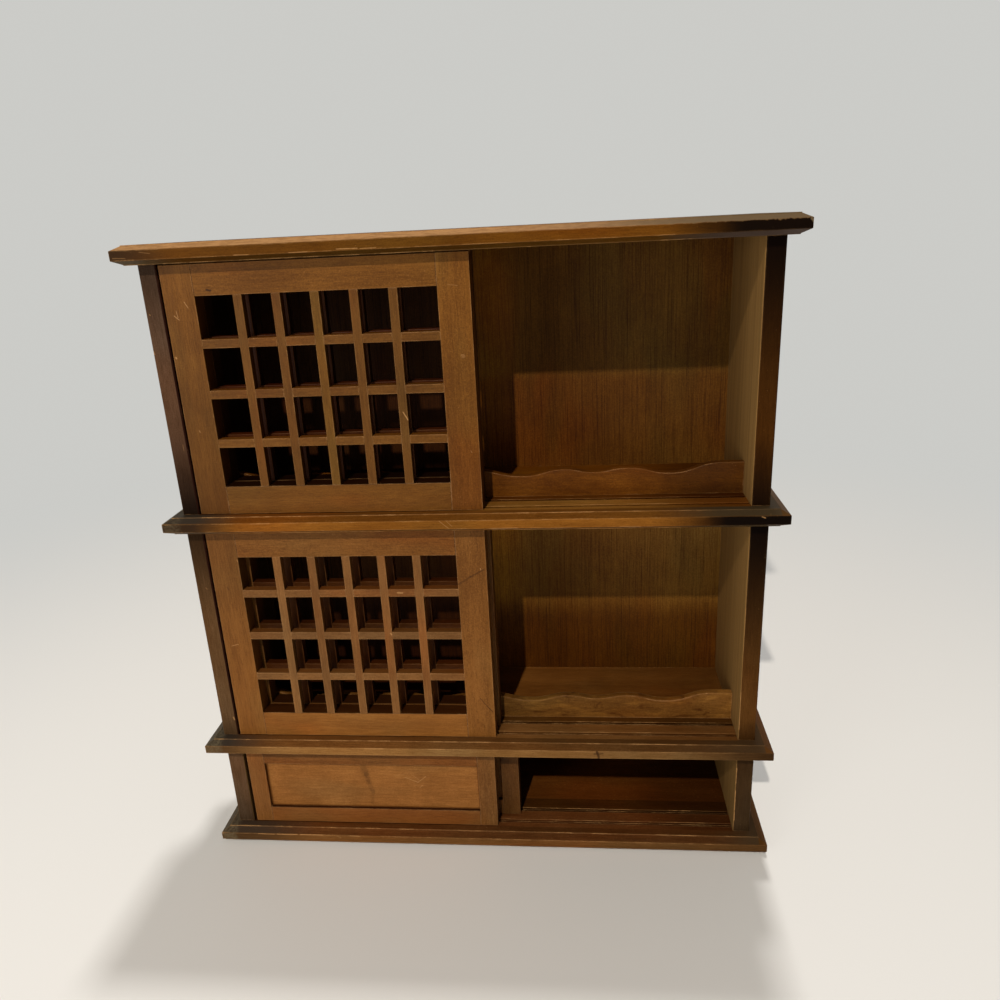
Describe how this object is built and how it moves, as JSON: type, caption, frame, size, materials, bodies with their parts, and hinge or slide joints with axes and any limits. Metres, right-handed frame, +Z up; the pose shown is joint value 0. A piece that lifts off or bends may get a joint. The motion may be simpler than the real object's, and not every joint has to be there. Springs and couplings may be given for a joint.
{
  "type": "tabletop display cabinet",
  "caption": "Small three-tier wooden display cabinet with lattice and panel sliding doors, scalloped inner rails and moulded boards that overhang the sides.",
  "frame": {"origin": "on the floor, in the middle of the cabinet's width and depth", "axes": "+Z up, front faces -Y, +X to the right of a person who faces the front"},
  "size_m": [0.38, 0.104, 0.409],
  "materials": {
    "carcass_wood": "satin brown lacquer on fine hardwood, scorched dark towards the board ends",
    "door_wood": "satin caramel lacquer on fine hardwood",
    "lattice_wood": "satin caramel lacquer on fine hardwood",
    "panel_wood": "satin caramel lacquer on a flat panel",
    "gallery_wood": "satin brown lacquer on a thin strip",
    "back_plywood": "stained open-pored plywood"
  },
  "bodies": {
    "carcass": {"base_board": "carcass_wood", "lower_shelf": "carcass_wood", "upper_shelf": "carcass_wood", "top_board": "carcass_wood", "lower_left_side_panel": "carcass_wood", "lower_right_side_panel": "carcass_wood", "middle_left_side_panel": "carcass_wood", "middle_right_side_panel": "carcass_wood", "upper_left_side_panel": "carcass_wood", "upper_right_side_panel": "carcass_wood", "back_panel": "back_plywood", "middle_scalloped_rail": "gallery_wood", "upper_scalloped_rail": "gallery_wood"},
    "lower_front_door": {"lower_front_door_left_stile": "door_wood", "lower_front_door_right_stile": "door_wood", "lower_front_door_bottom_rail": "door_wood", "lower_front_door_top_rail": "door_wood", "lower_front_door_panel": "panel_wood"},
    "lower_rear_door": {"lower_rear_door_left_stile": "door_wood", "lower_rear_door_right_stile": "door_wood", "lower_rear_door_bottom_rail": "door_wood", "lower_rear_door_top_rail": "door_wood", "lower_rear_door_panel": "panel_wood"},
    "middle_front_door": {"middle_front_door_left_stile": "door_wood", "middle_front_door_right_stile": "door_wood", "middle_front_door_bottom_rail": "door_wood", "middle_front_door_top_rail": "door_wood", "middle_front_door_vertical_bars": "lattice_wood", "middle_front_door_horizontal_bars": "lattice_wood"},
    "middle_rear_door": {"middle_rear_door_left_stile": "door_wood", "middle_rear_door_right_stile": "door_wood", "middle_rear_door_bottom_rail": "door_wood", "middle_rear_door_top_rail": "door_wood", "middle_rear_door_vertical_bars": "lattice_wood", "middle_rear_door_horizontal_bars": "lattice_wood"},
    "upper_front_door": {"upper_front_door_left_stile": "door_wood", "upper_front_door_right_stile": "door_wood", "upper_front_door_bottom_rail": "door_wood", "upper_front_door_top_rail": "door_wood", "upper_front_door_vertical_bars": "lattice_wood", "upper_front_door_horizontal_bars": "lattice_wood"},
    "upper_rear_door": {"upper_rear_door_left_stile": "door_wood", "upper_rear_door_right_stile": "door_wood", "upper_rear_door_bottom_rail": "door_wood", "upper_rear_door_top_rail": "door_wood", "upper_rear_door_vertical_bars": "lattice_wood", "upper_rear_door_horizontal_bars": "lattice_wood"}
  },
  "joints": [
    {"name": "lower_front_slide", "type": "slide", "parent": "carcass", "child": "lower_front_door", "axis": [1, 0, 0], "range_m": [-0.0021, 0.1607]},
    {"name": "lower_rear_slide", "type": "slide", "parent": "carcass", "child": "lower_rear_door", "axis": [1, 0, 0], "range_m": [-0.0171, 0.1457]},
    {"name": "middle_front_slide", "type": "slide", "parent": "carcass", "child": "middle_front_door", "axis": [1, 0, 0], "range_m": [-0.0008, 0.15865]},
    {"name": "middle_rear_slide", "type": "slide", "parent": "carcass", "child": "middle_rear_door", "axis": [1, 0, 0], "range_m": [-0.0028, 0.15665]},
    {"name": "upper_front_slide", "type": "slide", "parent": "carcass", "child": "upper_front_door", "axis": [1, 0, 0], "range_m": [-0.0008, 0.15865]},
    {"name": "upper_rear_slide", "type": "slide", "parent": "carcass", "child": "upper_rear_door", "axis": [1, 0, 0], "range_m": [-0.0002, 0.15925]}
  ]
}
